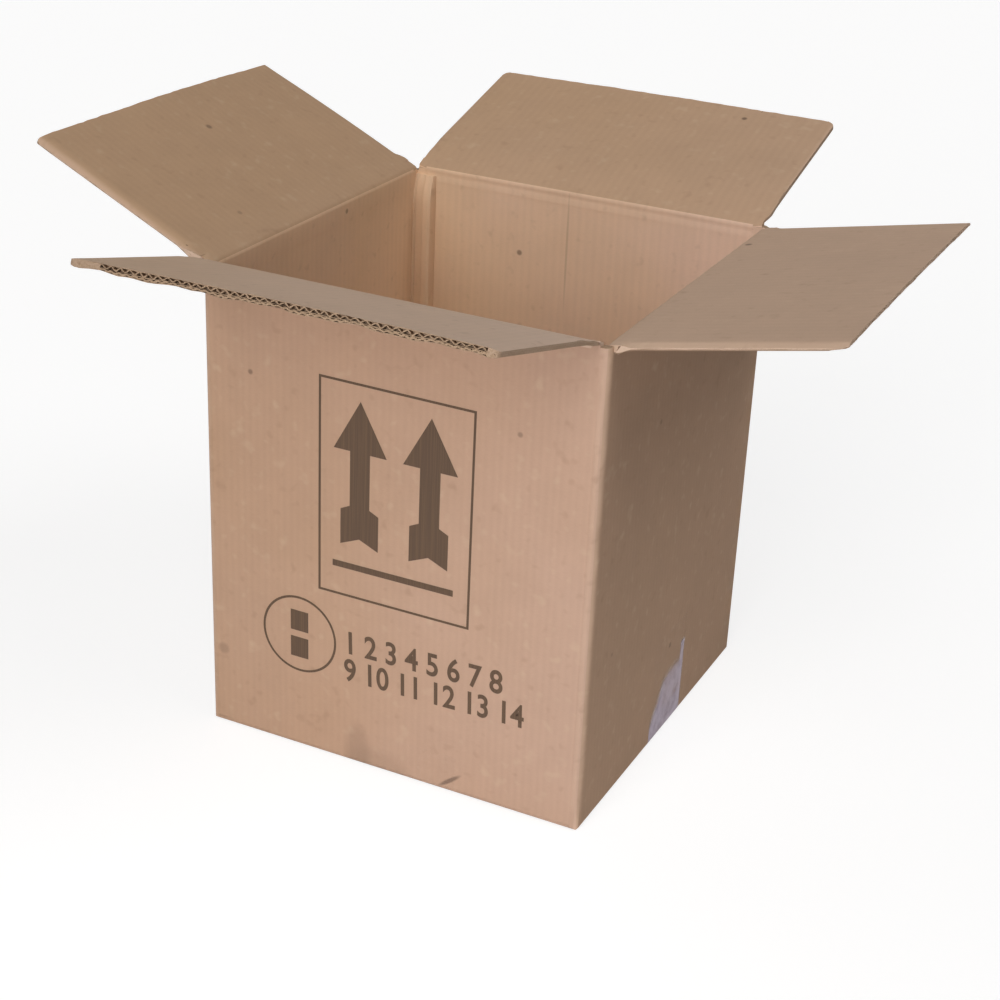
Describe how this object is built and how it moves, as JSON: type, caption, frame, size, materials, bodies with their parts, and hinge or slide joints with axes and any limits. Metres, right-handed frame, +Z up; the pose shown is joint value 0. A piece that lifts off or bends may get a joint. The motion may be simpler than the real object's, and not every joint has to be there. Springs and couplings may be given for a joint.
{
  "type": "open cardboard box",
  "caption": "Square slotted shipping box of double-wall corrugated board, taped under the base, its top flaps turned open.",
  "frame": {"origin": "middle of the underside, on the plane that the box rests on", "axes": "+X to the right of the printed front wall, +Y to the back, +Z up"},
  "size_m": [0.6785, 0.6871, 0.4915],
  "materials": {
    "board": "matt kraft paper",
    "tape": "clear film"
  },
  "bodies": {
    "carton": {"carton": "board", "seam_tape": "tape", "cross_tape": "tape"},
    "front_flap": {"front_flap": "board"},
    "back_flap": {"back_flap": "board"},
    "left_flap": {"left_flap": "board"},
    "right_flap": {"right_flap": "board"}
  },
  "joints": [
    {"name": "front_flap_fold", "type": "hinge", "parent": "carton", "child": "front_flap", "pos_m": [0, -0.175, 0.4173], "axis": [-1, 0, 0], "range_deg": [-94.5, 165.5]},
    {"name": "back_flap_fold", "type": "hinge", "parent": "carton", "child": "back_flap", "pos_m": [0, 0.175, 0.4173], "axis": [1, 0, 0], "range_deg": [-95.5, 164.5]},
    {"name": "left_flap_fold", "type": "hinge", "parent": "carton", "child": "left_flap", "pos_m": [-0.175, 0, 0.4101], "axis": [0, 1, 0], "range_deg": [-105.5, 154.5]},
    {"name": "right_flap_fold", "type": "hinge", "parent": "carton", "child": "right_flap", "pos_m": [0.175, 0, 0.4101], "axis": [0, -1, 0], "range_deg": [-91.5, 168.5]}
  ]
}
